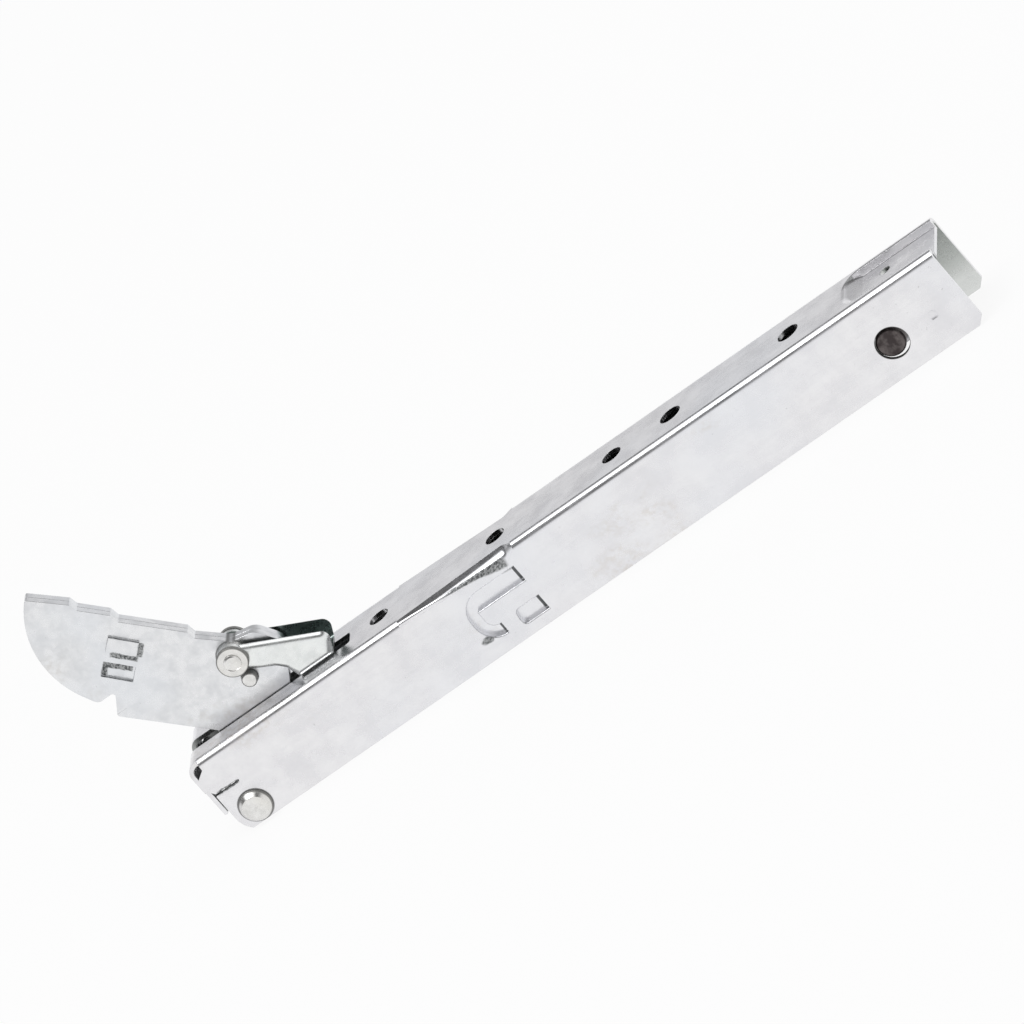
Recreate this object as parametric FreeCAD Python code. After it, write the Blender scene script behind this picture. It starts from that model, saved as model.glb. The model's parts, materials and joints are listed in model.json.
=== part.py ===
# Oven door hinge: a folded steel channel with a hooked arm, a lock latch and a tension spring.
# Millimetres. X runs along the channel from the arm to the far end, Y across it, Z up out of the web.
# The origin is the centre of the middle one of the three smaller door screw holes, on the web's
# outer face. The hinge stands on the open edges of its flanges.
import FreeCAD, Part
import math
import os
from FreeCAD import Vector

# Channel, folded from one sheet
sheet = 1.2
channel_width = 24.0
channel_height = 25.0
fold_radius = 2.4
wall_fold_radius = 3.5
far_end_from_pivot = 246.0
end_wall_from_pivot = 9.0
end_wall_depth = 17.9
end_wall_side_gap = 0.4
far_corner = 2.2
# Door screws, as distances from the pivot
screw_distances = [58.0, 98.0, 138.0, 158.0, 198.0]
small_screw_count = 3
datum_screw = 1
small_screw_radius = 3.15
large_screw_radius = 3.4
# Slot for the arm in the web and the end wall
slot_width = 6.2
slot_end_from_pivot = 48.0
slot_corner = 1.0
# Pivot and the ear round it
pivot_depth = 19.9
pivot_radius = 3.2
pivot_head_radius = 4.8
pivot_head_face_radius = 3.6
pivot_head_height = 2.2
ear_radius = 7.0
ear_slit_depth = 11.4
ear_slit_width = 0.6
ear_slit_end = 1.2
relief_depth = 4.7
relief_run = 2.6
# Stops pressed inwards from both flanges, sheared at their far ends
stop_from_pivot = 100.5
stop_press = 2.0
stop_wall = 0.9
stop_rim = 0.55
# The fold is drawn in beside each stop, deepest at the stop's sheared end
draw_run = 36.0
draw_depth = 1.5
draw_return = 3.0
# Far end: anchor pin, pilot hole and the pressed seat in the web
anchor_from_pivot = 222.0
anchor_depth = 14.9
anchor_radius = 4.2
anchor_hole_radius = 4.75
anchor_groove_radius = 3.6
anchor_groove_width = 3.8
anchor_end_inset = 0.5
anchor_chamfer = 0.5
seat_start_from_pivot = 217.0
seat_slope = 5.0
seat_press = 2.0
seat_width = 16.6
seat_corner = 6.0
pilot_from_pivot = 229.2
pilot_offset = 2.1
pilot_radius = 1.8
dimple_from_pivot = 235.6
dimple_depth_down = 14.9
dimple_ball = 2.5
dimple_sink = 0.6
# Arm: two equal plates held together by nested half-shears
arm_plate = 2.4
arm_boss_radius = 5.4
arm_angle = -48.5
shear_press = 0.9
shear_length = 8.6
shear_width = 4.4
shear_gap = 0.1
raised_shear = (-1.8, 56.1)
sunk_shear = (-7.6, 50.7)
# Latch, a folded stirrup on the arm
latch_sheet = 1.5
latch_gap_to_arm = 1.3
latch_pin_at = (20.2, 35.6)
latch_pin_radius = 2.4
latch_root_radius = 4.3
latch_rest_gap = 0.2
latch_fold_radius = 2.0
washer_radius = 4.5
washer_thickness = 1.5
rivet_end = 0.7
latch_head_height = 1.6
latch_spacer_radius = 4.0
stop_pin_at = (19.9, 28.0)
stop_pin_radius = 2.2
stop_pin_proud = 2.6
# Lever on the arm, link straps and the slider
lever_radius = 10.0
lever_angle = 66.5
arm_travel = 47.0
lever_pin_radius = 2.0
lever_head_radius = 3.0
lever_head_height = 1.0
strap = 1.5
strap_width = 6.8
strap_gap = 0.2
hook_pin_radius = 2.0
sleeve_radius = 4.3
slider_side_gap = 0.4
slider_stop_gap = 0.7
# Spring
wire = 3.0
spring_diameter = 16.3
coil_pitch = 3.2
hook_play = 0.2
hook_shank = 4.5
# Fits
running_clearance = 0.05
seat_clearance = 0.02
face_clearance = 0.1

# Worked out from the sizes above
datum = screw_distances[datum_screw]
pivot_x = -datum
pivot_z = -pivot_depth
near_x = pivot_x - end_wall_from_pivot
far_x = pivot_x + far_end_from_pivot
half_width = channel_width / 2
inner_half_width = half_width - sheet
arm_half = arm_plate
lever_x = pivot_x + lever_radius * math.cos(math.radians(lever_angle))
lever_z = pivot_z + lever_radius * math.sin(math.radians(lever_angle))
lever_end_angle = math.radians(lever_angle + arm_travel)
slider_travel = lever_x - (pivot_x + lever_radius * math.cos(lever_end_angle))
lever_rise = lever_radius * (1 - math.sin(math.radians(lever_angle)))
slider_x = pivot_x + stop_from_pivot + slider_travel + slider_stop_gap + sleeve_radius
anchor_hole_x = pivot_x + anchor_from_pivot
anchor_x = anchor_hole_x - (anchor_hole_radius - anchor_radius - face_clearance)
anchor_z = -anchor_depth
latch_pin_x = pivot_x + latch_pin_at[0]
latch_pin_z = pivot_z + latch_pin_at[1]
latch_inner = arm_half + latch_gap_to_arm
latch_outer = latch_inner + latch_sheet


def rounded_wire(corners, place):
    """Closed outline through the corners, each one given as (u, v, radius of its arc)."""
    count = len(corners)
    starts = []
    ends = []
    middles = []
    for index, (u, v, radius) in enumerate(corners):
        corner = Vector(u, v, 0)
        before = Vector(*corners[index - 1][:2], 0).sub(corner).normalize()
        after = Vector(*corners[(index + 1) % count][:2], 0).sub(corner).normalize()
        if radius <= 0:
            starts.append(corner)
            ends.append(corner)
            middles.append(None)
            continue
        half_turn = before.getAngle(after) / 2
        reach = radius / math.tan(half_turn)
        middle_way = before.add(after).normalize()
        to_arc = radius / math.sin(half_turn) - radius
        starts.append(corner.add(before.multiply(reach)))
        ends.append(corner.add(after.multiply(reach)))
        middles.append(corner.add(middle_way.multiply(to_arc)))
    edges = []
    for index in range(count):
        if middles[index] is not None:
            points = [place(p.x, p.y) for p in (starts[index], middles[index], ends[index])]
            edges.append(Part.Arc(*points).toShape())
        line_start = place(ends[index].x, ends[index].y)
        following = starts[(index + 1) % count]
        line_end = place(following.x, following.y)
        if line_start.distanceToPoint(line_end) > 1e-6:
            edges.append(Part.LineSegment(line_start, line_end).toShape())
    return Part.Wire(edges)


def side_plate(corners, y_low, y_high):
    """Plate between two Y planes with an outline in X and Z."""
    wire_loop = rounded_wire(corners, lambda u, v: Vector(u, y_low, v))
    return Part.Face(wire_loop).extrude(Vector(0, y_high - y_low, 0))


def flat_plate(corners, z_low, z_high):
    """Plate between two Z planes with an outline in X and Y."""
    wire_loop = rounded_wire(corners, lambda u, v: Vector(u, v, z_low))
    return Part.Face(wire_loop).extrude(Vector(0, 0, z_high - z_low))


def cross_rod(x, z, radius, y_low, y_high):
    return Part.makeCylinder(radius, y_high - y_low, Vector(x, y_low, z), Vector(0, 1, 0))


def ring(x, z, outer, inner, y_low, y_high):
    hole = cross_rod(x, z, inner, y_low - 1, y_high + 1)
    return cross_rod(x, z, outer, y_low, y_high).cut(hole)


def turned(x, z, profile):
    """Round piece on a Y axis from a list of (radius, y), first and last on the axis."""
    points = [Vector(x + radius, y, z) for radius, y in profile]
    loop = Part.makePolygon(points + [points[0]])
    return Part.Face(loop).revolve(Vector(x, 0, z), Vector(0, 1, 0), 360)


def from_pivot(points):
    """Corners given from the pivot, moved to the hinge's frame."""
    return [(pivot_x + u, pivot_z + v, radius) for u, v, radius in points]


def tangent_point(point, radius, side):
    """Where a line from a point touches a circle round the pivot, both taken from the pivot."""
    distance = math.hypot(*point)
    direction = math.atan2(point[1], point[0])
    angle = direction + side * math.acos(radius / distance)
    return (radius * math.cos(angle), radius * math.sin(angle), 0)


# Channel

def channel_fold():
    """The long U: web and both flanges, from just behind the end wall to the far end."""
    start_x = near_x + wall_fold_radius + 0.5
    inner_radius = fold_radius - sheet
    section = [
        (-half_width, -channel_height, 0),
        (-half_width, 0, fold_radius),
        (half_width, 0, fold_radius),
        (half_width, -channel_height, 0),
        (inner_half_width, -channel_height, 0),
        (inner_half_width, -sheet, inner_radius),
        (-inner_half_width, -sheet, inner_radius),
        (-inner_half_width, -channel_height, 0),
    ]
    loop = rounded_wire(section, lambda u, v: Vector(start_x, u, v))
    return Part.Face(loop).extrude(Vector(far_x - start_x, 0, 0))


def end_wall():
    """The web's end folded down across the channel."""
    back_x = near_x + wall_fold_radius + 0.5
    inner_x = near_x + sheet
    profile = [
        (back_x, 0, 0),
        (near_x, 0, wall_fold_radius),
        (near_x, -end_wall_depth, 0.5),
        (inner_x, -end_wall_depth, 0.5),
        (inner_x, -sheet, wall_fold_radius - sheet),
        (back_x, -sheet, 0),
    ]
    side = half_width - end_wall_side_gap
    return side_plate(profile, -side, side)


def flange_end(y_low, y_high):
    """The part of a flange between the U and the end wall, with the bend relief above it."""
    back_x = near_x + wall_fold_radius + 0.5
    front_x = near_x + sheet + face_clearance
    outline = [
        (back_x, -relief_depth + relief_run * 0.7, 0),
        (front_x, -relief_depth, 0),
        (front_x, -channel_height, 0),
        (back_x, -channel_height, 0),
    ]
    return side_plate(outline, y_low, y_high)


def ear_cuts(y_low, y_high):
    """What is cut from a flange round the pivot: the ear's curve and the slit above it."""
    reach = end_wall_from_pivot + 1
    below = Part.makeBox(reach, y_high - y_low, channel_height - pivot_depth + 1)
    below.translate(Vector(pivot_x - reach, y_low, -channel_height - 1))
    ear = cross_rod(pivot_x, pivot_z, ear_radius, y_low, y_high)
    slit = side_plate(from_pivot([
        (-reach, pivot_depth - ear_slit_depth + ear_slit_width, 0),
        (-ear_radius, pivot_depth - ear_slit_depth + ear_slit_width, 0),
        (ear_slit_end, pivot_depth - ear_slit_depth + ear_slit_width, ear_slit_width / 2.1),
        (ear_slit_end, pivot_depth - ear_slit_depth, ear_slit_width / 2.1),
        (-ear_radius, pivot_depth - ear_slit_depth, 0.4),
        (-ear_radius, 0, 0),
        (-reach, 0, 0),
    ]), y_low, y_high)
    mouth = side_plate(from_pivot([
        (-reach, pivot_depth - ear_slit_depth + 2.2, 0),
        (-end_wall_from_pivot + sheet, pivot_depth - ear_slit_depth + 2.2, 0),
        (-ear_radius + 0.8, pivot_depth - ear_slit_depth, 0),
        (-reach, pivot_depth - ear_slit_depth, 0),
    ]), y_low, y_high)
    return [below.cut(ear), slit, mouth]


def stop_outlines(grow):
    """Outlines of the pressed hook and the pressed bar, grown by a wall on all but sheared ends."""
    end = pivot_x + stop_from_pivot
    hook = [
        (end, -5.7 + grow, 0),
        (end - 19.9 - grow, -5.7 + grow, 7.0 + grow),
        (end - 19.9 - grow, -20.4 - grow, 6.0 + grow),
        (end - 13.2, -20.4 - grow, 0),
        (end - 13.2, -17.2 + grow, 0),
        (end - 16.6 + grow, -17.2 + grow, 3.0 - grow),
        (end - 16.6 + grow, -10.8 - grow, 0.4),
        (end, -10.8 - grow, 0),
    ]
    bar = [
        (end, -16.6 + grow, 0),
        (end - 8.2 - grow, -16.6 + grow, 1.5),
        (end - 8.9 - grow, -21.4 - grow, 1.5),
        (end, -21.4 - grow, 0),
    ]
    return [hook, bar]


def pressed_stops(channel):
    """Press the stops into both flanges."""
    floor = half_width - stop_press - sheet
    raised = []
    sunk = []
    for outline in stop_outlines(stop_wall):
        raised.append(side_plate(outline, -inner_half_width - 0.1, -floor))
        raised.append(side_plate(outline, floor, inner_half_width + 0.1))
    for outline in stop_outlines(0):
        sunk.append(side_plate(outline, -half_width - 1, -half_width + stop_press))
        sunk.append(side_plate(outline, half_width - stop_press, half_width + 1))
    return rounded_rims(channel.fuse(raised).cut(sunk))


def rounded_rims(channel):
    """Round the stops' rims on the outside of the flanges, all but the sheared ends."""
    end = pivot_x + stop_from_pivot
    rims = []
    for edge in channel.Edges:
        box = edge.BoundBox
        flat = box.YLength < 1e-4 and abs(abs(box.YMin) - half_width) < 1e-4
        beside = box.XMin > end - 25 and box.XMax < end + 1e-4
        between = box.ZMax < -fold_radius and box.ZMin > -channel_height + 1
        sheared = box.XLength < 1e-4
        if flat and beside and between and not sheared:
            rims.append(edge)
    return channel.makeFillet(stop_rim, rims)


def fold_wedge(side, low, sink, width):
    """Prism across one fold, from a depth under its tip to the drawn-in line, sunk by a thickness."""
    end = pivot_x + stop_from_pivot
    line = fold_radius * (math.sqrt(2) - 1) + sink
    profile = [
        (end - draw_run, line, 0),
        (end, line + draw_depth, 2.5),
        (end + draw_return, line, 0),
        (end + draw_return, low, 0),
        (end - draw_run, low, 0),
    ]
    slant = math.sqrt(0.5)

    def place(u, v):
        return Vector(u, side * (half_width - slant * (v - width / 2)), -slant * (v + width / 2))

    wedge = Part.Face(rounded_wire(profile, place))
    return wedge.extrude(Vector(0, -side * slant * width, slant * width))


def drawn_folds(channel):
    """Draw both folds in beside the stops, with the sheet as thick as elsewhere."""
    inside_reach = 1.5 * (fold_radius + draw_depth)
    outline = Part.makeBox(far_x - near_x, channel_width, channel_height)
    outline.translate(Vector(near_x, -half_width, -channel_height))
    added = [fold_wedge(side, 1.0, sheet, inside_reach).common(outline) for side in (-1, 1)]
    taken = [fold_wedge(side, -1.0, 0, 4 * fold_radius) for side in (-1, 1)]
    return channel.fuse(added).cut(taken)


def pressed_seat(channel):
    """Press the web down at the far end, with a sloped and rounded start."""
    start = pivot_x + seat_start_from_pivot
    full = start + seat_slope

    def press(drop, widen, top, bottom, reach):
        profile = [
            (start - drop, top, 0),
            (full - drop, bottom, 0),
            (reach, bottom, 0),
            (reach, top, 0),
        ]
        half = seat_width / 2 + widen
        plan = [
            (start - drop - 1, -half, seat_corner),
            (reach, -half, 0),
            (reach, half, 0),
            (start - drop - 1, half, seat_corner),
        ]
        column = flat_plate(plan, bottom - 1, top + 1)
        return side_plate(profile, -half_width, half_width).common(column)

    under = press(sheet * 0.7, sheet * 0.8, -sheet / 2, -sheet - seat_press, far_x)
    over = press(0, 0, 0, -seat_press, far_x)
    above = flat_plate([
        (start, -half_width, 0),
        (far_x, -half_width, 0),
        (far_x, half_width, 0),
        (start, half_width, 0),
    ], 0, 1)
    return channel.fuse(under).cut([over, above])


def screw_holes():
    holes = []
    for index, distance in enumerate(screw_distances):
        radius = small_screw_radius if index < small_screw_count else large_screw_radius
        start = Vector(pivot_x + distance, 0, -sheet - 1)
        holes.append(Part.makeCylinder(radius, sheet + 2, start))
    start = Vector(pivot_x + pilot_from_pivot, pilot_offset, -seat_press - sheet - 1)
    holes.append(Part.makeCylinder(pilot_radius, sheet + 2, start))
    return holes


def arm_slot():
    half = slot_width / 2
    plan = [
        (near_x - 1, -half, 0),
        (pivot_x + slot_end_from_pivot, -half, slot_corner),
        (pivot_x + slot_end_from_pivot, half, slot_corner),
        (near_x - 1, half, 0),
    ]
    web_cut = flat_plate(plan, -sheet - 1, 1)
    wall_cut = Part.makeBox(wall_fold_radius + 2, slot_width, end_wall_depth + 2)
    wall_cut.translate(Vector(near_x - 1, -half, -end_wall_depth - 1))
    return [web_cut, wall_cut]


def far_corners():
    """The flanges' lower far corners, cut off at an angle."""
    outline = [
        (far_x - far_corner, -channel_height - 1, 0),
        (far_x + 1, -channel_height - 1, 0),
        (far_x + 1, -channel_height + far_corner, 0),
        (far_x, -channel_height + far_corner, 0),
        (far_x - far_corner, -channel_height, 0),
    ]
    return side_plate(outline, -half_width - 1, half_width + 1)


def channel():
    body = channel_fold().fuse(end_wall())
    sides = [(-half_width, -inner_half_width), (inner_half_width, half_width)]
    body = body.fuse([flange_end(low, high) for low, high in sides])
    body = drawn_folds(body)
    body = pressed_stops(body)
    body = pressed_seat(body)
    cuts = arm_slot() + screw_holes() + [far_corners()]
    for low, high in sides:
        cuts += ear_cuts(low - 0.01, high + 0.01)
    pivot_hole = pivot_radius + seat_clearance
    cuts.append(cross_rod(pivot_x, pivot_z, pivot_hole, -half_width - 1, half_width + 1))
    cuts.append(cross_rod(anchor_hole_x, anchor_z, anchor_hole_radius, -half_width - 1, half_width + 1))
    for side in (-1, 1):
        ball_y = side * (half_width + dimple_ball - dimple_sink)
        ball_at = Vector(pivot_x + dimple_from_pivot, ball_y, -dimple_depth_down)
        cuts.append(Part.makeSphere(dimple_ball, ball_at))
    return body.cut(cuts).removeSplitter()


# Pivot and anchor

def pivot_pin():
    """Rivet through both flanges, with a coned head on each side."""
    head = half_width + pivot_head_height
    return turned(pivot_x, pivot_z, [
        (0, -head),
        (pivot_head_face_radius, -head),
        (pivot_head_radius, -half_width - 0.5),
        (pivot_head_radius, -half_width),
        (pivot_radius, -half_width),
        (pivot_radius, half_width),
        (pivot_head_radius, half_width),
        (pivot_head_radius, half_width + 0.5),
        (pivot_head_face_radius, head),
        (0, head),
    ])


def pivot_spacer(side):
    """Tube on the pivot that keeps the arm in the middle of the channel."""
    inner_end = arm_half + face_clearance
    outer_end = inner_half_width - face_clearance
    low, high = sorted([side * inner_end, side * outer_end])
    outer = arm_boss_radius - 0.4
    return ring(pivot_x, pivot_z, outer, pivot_radius + running_clearance, low, high)


def anchor_pin():
    """Pin that the spring's far hook pulls against, grooved where the hook sits."""
    end = half_width - anchor_end_inset
    groove = anchor_groove_width / 2
    step = anchor_radius - anchor_groove_radius
    return turned(anchor_x, anchor_z, [
        (0, -end),
        (anchor_radius - anchor_chamfer, -end),
        (anchor_radius, -end + anchor_chamfer),
        (anchor_radius, -groove - step),
        (anchor_groove_radius, -groove),
        (anchor_groove_radius, groove),
        (anchor_radius, groove + step),
        (anchor_radius, end - anchor_chamfer),
        (anchor_radius - anchor_chamfer, end),
        (0, end),
    ])


# Arm

def arm_outline():
    """Arm from the pivot: nose, three steps, saddle, lobe, heel, boss, throat and hook notch."""
    heel = (27.5, 20.1)
    throat = (2.9, 20.1)
    return from_pivot([
        (-14.2, 83.0, 0.7),
        (-5.4, 74.5, 0.8),
        (-4.9, 72.1, 0.8),
        (1.4, 65.3, 0.6),
        (1.8, 62.6, 0.8),
        (14.8, 48.6, 0.5),
        (15.1, 46.1, 0.5),
        (22.5, 39.2, 3.0),
        (29.4, 37.9, 4.5),
        (34.2, 30.3, 4.5),
        (*heel, 1.5),
        tangent_point(heel, arm_boss_radius, -1),
        tangent_point(throat, arm_boss_radius, 1),
        (*throat, 1.0),
        (-16.3, 40.3, 0.9),
        (-12.0, 46.6, 0.9),
        (-17.9, 46.4, 2.2),
        (-28.4, 67.4, 28.0),
    ])


def shear_block(centre, gap, y_low, y_high):
    """Block of one half-shear, turned to lie along the arm."""
    length = shear_length + 2 * gap
    width = shear_width + 2 * gap
    block = Part.makeBox(length, y_high - y_low, width, Vector(-length / 2, y_low, -width / 2))
    block.rotate(Vector(0, 0, 0), Vector(0, 1, 0), -arm_angle)
    block.translate(Vector(pivot_x + centre[0], 0, pivot_z + centre[1]))
    return block


def arm_plate_solid(y_low):
    """One plate of the arm. The raised shear moves to -Y and the sunk one to +Y."""
    y_high = y_low + arm_plate
    plate = side_plate(arm_outline(), y_low, y_high)
    plate = plate.fuse(cross_rod(pivot_x, pivot_z, arm_boss_radius, y_low, y_high))
    plate = plate.fuse([
        shear_block(raised_shear, 0, y_low - shear_press, y_low + 0.1),
        shear_block(sunk_shear, 0, y_high - 0.1, y_high + shear_press),
    ])
    stop_hole = stop_pin_radius + seat_clearance
    latch_hole = latch_pin_radius + seat_clearance
    lever_hole = lever_pin_radius + seat_clearance
    holes = [
        shear_block(raised_shear, shear_gap, y_high - shear_press, y_high + 1),
        shear_block(sunk_shear, shear_gap, y_low - 1, y_low + shear_press),
        cross_rod(pivot_x, pivot_z, pivot_radius + running_clearance, y_low - 1, y_high + 1),
        cross_rod(latch_pin_x, latch_pin_z, latch_hole, y_low - 1, y_high + 1),
        cross_rod(pivot_x + stop_pin_at[0], pivot_z + stop_pin_at[1], stop_hole, y_low - 1, y_high + 1),
        cross_rod(lever_x, lever_z, lever_hole, y_low - 1, y_high + 1),
    ]
    return plate.cut(holes).removeSplitter()


def lever_pin():
    """Rivet that carries the link straps on the arm."""
    face = arm_half + strap_gap + strap + face_clearance
    head = face + lever_head_height
    return turned(lever_x, lever_z, [
        (0, -head),
        (lever_head_radius - 0.4, -head),
        (lever_head_radius, -head + 0.4),
        (lever_head_radius, -face),
        (lever_pin_radius, -face),
        (lever_pin_radius, face),
        (lever_head_radius, face),
        (lever_head_radius, head - 0.4),
        (lever_head_radius - 0.4, head),
        (0, head),
    ])


# Latch

def latch():
    """Stirrup over the arm: two cheeks folded up from a bridge that lies on the web."""
    bottom = -(latch_pin_z - latch_rest_gap)
    outline = [
        (1.1, 3.6, 0),
        (25.9, -9.1, 2.6),
        (22.8, bottom, 1.2),
        (11.0, bottom, 0.5),
        (9.8, -11.1, 2.0),
        (7.8, -8.9, 3.0),
        (4.1, -6.9, 1.0),
        (1.3, -4.8, 0.8),
        (-0.7, -1.2, 0),
    ]
    placed = [(latch_pin_x + u, latch_pin_z + v, radius) for u, v, radius in outline]
    body = side_plate(placed, -latch_outer, latch_outer)
    low_z = latch_rest_gap
    folds = []
    for edge in body.Edges:
        box = edge.BoundBox
        on_bottom = abs(box.ZMin - low_z) < 1e-4 and abs(box.ZMax - low_z) < 1e-4
        if on_bottom and box.YLength < 1e-4 and box.XLength > 5:
            folds.append(edge)
    body = body.makeFillet(latch_fold_radius, folds)
    root = cross_rod(latch_pin_x, latch_pin_z, latch_root_radius, -latch_outer, latch_outer)
    body = body.fuse(root)
    inner_fold = latch_fold_radius - latch_sheet
    hollow = rounded_wire([
        (-latch_inner, low_z + latch_sheet, inner_fold),
        (latch_inner, low_z + latch_sheet, inner_fold),
        (latch_inner, latch_pin_z + 20, 0),
        (-latch_inner, latch_pin_z + 20, 0),
    ], lambda u, v: Vector(latch_pin_x - 20, u, v))
    hollow = Part.Face(hollow).extrude(Vector(60, 0, 0))
    hole = latch_pin_radius + running_clearance
    pin_hole = cross_rod(latch_pin_x, latch_pin_z, hole, -latch_outer - 1, latch_outer + 1)
    return body.cut([hollow, pin_hole]).removeSplitter()


def latch_pin():
    """Rivet with a formed head on the far side and a peened end on the near side."""
    near_end = -latch_outer - face_clearance - washer_thickness - rivet_end
    far_face = latch_outer + face_clearance
    far_end = far_face + latch_head_height
    return turned(latch_pin_x, latch_pin_z, [
        (0, near_end),
        (latch_pin_radius - 0.5, near_end),
        (latch_pin_radius, near_end + 0.3),
        (latch_pin_radius, far_face),
        (washer_radius, far_face),
        (washer_radius, far_end - 0.5),
        (washer_radius - 0.5, far_end),
        (0, far_end),
    ])


def latch_washer():
    face = -latch_outer - face_clearance
    washer = ring(latch_pin_x, latch_pin_z, washer_radius, latch_pin_radius + seat_clearance,
                  face - washer_thickness, face)
    rims = []
    for edge in washer.Edges:
        if abs(edge.BoundBox.XLength - 2 * washer_radius) < 0.01 and edge.BoundBox.YLength < 1e-4:
            rims.append(edge)
    return washer.makeFillet(0.35, rims)


def latch_spacer(side):
    """Thin ring that keeps a cheek off the arm."""
    low, high = sorted([side * (arm_half + 0.05), side * (latch_inner - 0.05)])
    hole = latch_pin_radius + seat_clearance
    return ring(latch_pin_x, latch_pin_z, latch_spacer_radius, hole, low, high)


def stop_pin():
    end = arm_half + stop_pin_proud
    return turned(pivot_x + stop_pin_at[0], pivot_z + stop_pin_at[1], [
        (0, -end),
        (stop_pin_radius - 0.4, -end),
        (stop_pin_radius, -end + 0.4),
        (stop_pin_radius, end - 0.4),
        (stop_pin_radius - 0.4, end),
        (0, end),
    ])


# Link and slider

def link_strap(side):
    """Flat strap from the lever pin to the slider's pin, whose hole lets the lever rise."""
    inner = arm_half + strap_gap
    low, high = sorted([side * inner, side * (inner + strap)])
    round_end = strap_width / 2
    outline = [
        (lever_x - round_end, lever_z - round_end, round_end * 0.99),
        (slider_x + round_end, lever_z - round_end, round_end * 0.99),
        (slider_x + round_end, lever_z + round_end, round_end * 0.99),
        (lever_x - round_end, lever_z + round_end, round_end * 0.99),
    ]
    play = hook_pin_radius + 0.15
    hole = [
        (slider_x - play, lever_z - play - lever_rise, play * 0.99),
        (slider_x + play, lever_z - play - lever_rise, play * 0.99),
        (slider_x + play, lever_z + play, play * 0.99),
        (slider_x - play, lever_z + play, play * 0.99),
    ]
    body = side_plate(outline, low, high)
    lever_hole = lever_pin_radius + running_clearance
    return body.cut([
        side_plate(hole, low - 1, high + 1),
        cross_rod(lever_x, lever_z, lever_hole, low - 1, high + 1),
    ])


def hook_pin():
    end = inner_half_width - slider_side_gap / 2
    return turned(slider_x, lever_z, [
        (0, -end),
        (hook_pin_radius - 0.3, -end),
        (hook_pin_radius, -end + 0.3),
        (hook_pin_radius, end - 0.3),
        (hook_pin_radius - 0.3, end),
        (0, end),
    ])


def guide_sleeve(side):
    """Sleeve on the hook pin that runs between the flanges and meets the pressed stops."""
    inner = arm_half + strap_gap + strap + slider_side_gap
    outer = inner_half_width - slider_side_gap
    low, high = sorted([side * inner, side * outer])
    return ring(slider_x, lever_z, sleeve_radius, hook_pin_radius + running_clearance, low, high)


# Spring

def spring_hook(end_radius, start, loop_centre, coil_start, wire_radius):
    """Hook at one end: an arm in from the coil, a shank on the axis and an open loop."""
    loop_radius = end_radius + hook_play + wire_radius
    toward = 1 if loop_centre.z > start.z else -1
    shank_top = Vector(0, 0, start.z + toward * wire_radius)
    shank_end = Vector(0, 0, loop_centre.z - toward * loop_radius)
    run_in = shank_top.sub(coil_start)
    shank_run = shank_end.sub(shank_top)
    loop = Part.makeTorus(loop_radius, wire_radius, loop_centre, Vector(0, 1, 0), -180, 180, 300)
    loop.rotate(loop_centre, Vector(0, 1, 0), -90 * toward - 180 * (toward > 0))
    return [
        Part.makeSphere(wire_radius, coil_start),
        Part.makeCylinder(wire_radius, run_in.Length, coil_start, run_in),
        Part.makeSphere(wire_radius, shank_top),
        Part.makeCylinder(wire_radius, shank_run.Length, shank_top, shank_run),
        loop,
    ]


def spring():
    """Close-wound tension spring from the slider's pin to the anchor pin."""
    wire_radius = wire / 2
    coil_radius = (spring_diameter - wire) / 2
    span_x = anchor_x - slider_x
    span_z = anchor_z - lever_z
    span = math.hypot(span_x, span_z)
    near_loop = hook_pin_radius + hook_play + wire_radius
    far_loop = anchor_groove_radius + hook_play + wire_radius
    coil_room = span - near_loop - far_loop - 2 * hook_shank - 2 * wire
    turns = int(coil_room / coil_pitch)
    coil_length = turns * coil_pitch
    spare = (coil_room - coil_length) / 2
    coil_low = near_loop + hook_shank + wire + spare
    helix = Part.makeHelix(coil_pitch, coil_length, coil_radius)
    section = Part.Wire(Part.Circle(Vector(coil_radius, 0, 0), Vector(0, 1, 0), wire_radius).toShape())
    coil = Part.Wire(helix).makePipeShell([section], True, True)
    coil.translate(Vector(0, 0, coil_low))
    low_start = Vector(coil_radius, 0, coil_low)
    high_start = Vector(coil_radius, 0, coil_low + coil_length)
    pieces = spring_hook(hook_pin_radius, Vector(0, 0, coil_low - wire), Vector(0, 0, 0),
                         low_start, wire_radius)
    pieces += spring_hook(anchor_groove_radius, Vector(0, 0, coil_low + coil_length + wire),
                          Vector(0, 0, span), high_start, wire_radius)
    body = coil.fuse(pieces)
    body.rotate(Vector(0, 0, 0), Vector(0, 1, 0), 90 + math.degrees(math.atan2(-span_z, span_x)))
    body.translate(Vector(slider_x, 0, lever_z))
    return body


parts = {
    "channel": channel,
    "pivot_pin": pivot_pin,
    "pivot_spacer_near": lambda: pivot_spacer(-1),
    "pivot_spacer_far": lambda: pivot_spacer(1),
    "anchor_pin": anchor_pin,
    "tension_spring": spring,
    "arm_plate_near": lambda: arm_plate_solid(-arm_plate),
    "arm_plate_far": lambda: arm_plate_solid(0),
    "lever_pin": lever_pin,
    "latch_pin": latch_pin,
    "latch_washer": latch_washer,
    "latch_spacer_near": lambda: latch_spacer(-1),
    "latch_spacer_far": lambda: latch_spacer(1),
    "stop_pin": stop_pin,
    "latch": latch,
    "link_strap_near": lambda: link_strap(-1),
    "link_strap_far": lambda: link_strap(1),
    "hook_pin": hook_pin,
    "guide_sleeve_near": lambda: guide_sleeve(-1),
    "guide_sleeve_far": lambda: guide_sleeve(1),
}

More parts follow.
